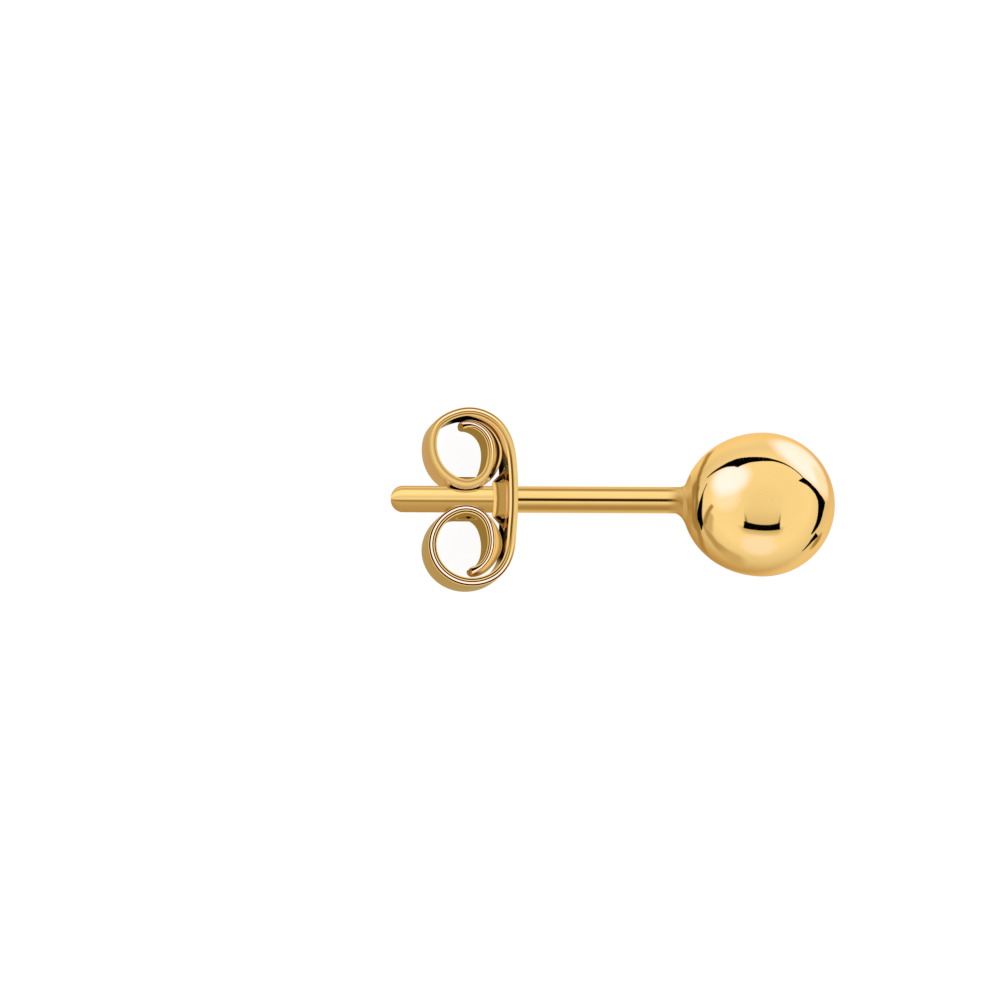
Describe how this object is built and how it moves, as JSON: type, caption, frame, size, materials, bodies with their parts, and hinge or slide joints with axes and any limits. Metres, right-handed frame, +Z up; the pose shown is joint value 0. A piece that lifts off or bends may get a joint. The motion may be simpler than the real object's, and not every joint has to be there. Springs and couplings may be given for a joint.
{
  "type": "ball stud earring",
  "caption": "Polished ball stud earring: a round ball on a straight post, with a scrolled butterfly clutch that slides along the post to hold it in an ear.",
  "frame": {"origin": "on the table, at the middle of the earring's length, under the post's axis", "axes": "+X along the post from its tip to the ball, +Z up from the table, parallel to the clutch's scroll axes, +Y across"},
  "size_m": [0.0154, 0.0062, 0.005],
  "materials": {
    "polished_gold": "mirror-polished yellow gold"
  },
  "bodies": {
    "stud": {"ball_and_post": "polished_gold"},
    "clutch": {"butterfly_clutch": "polished_gold"}
  },
  "joints": [
    {"name": "clutch_slide", "type": "slide", "parent": "stud", "child": "clutch", "axis": [1, 0, 0], "range_m": [-0.0036, 0.0052]}
  ]
}
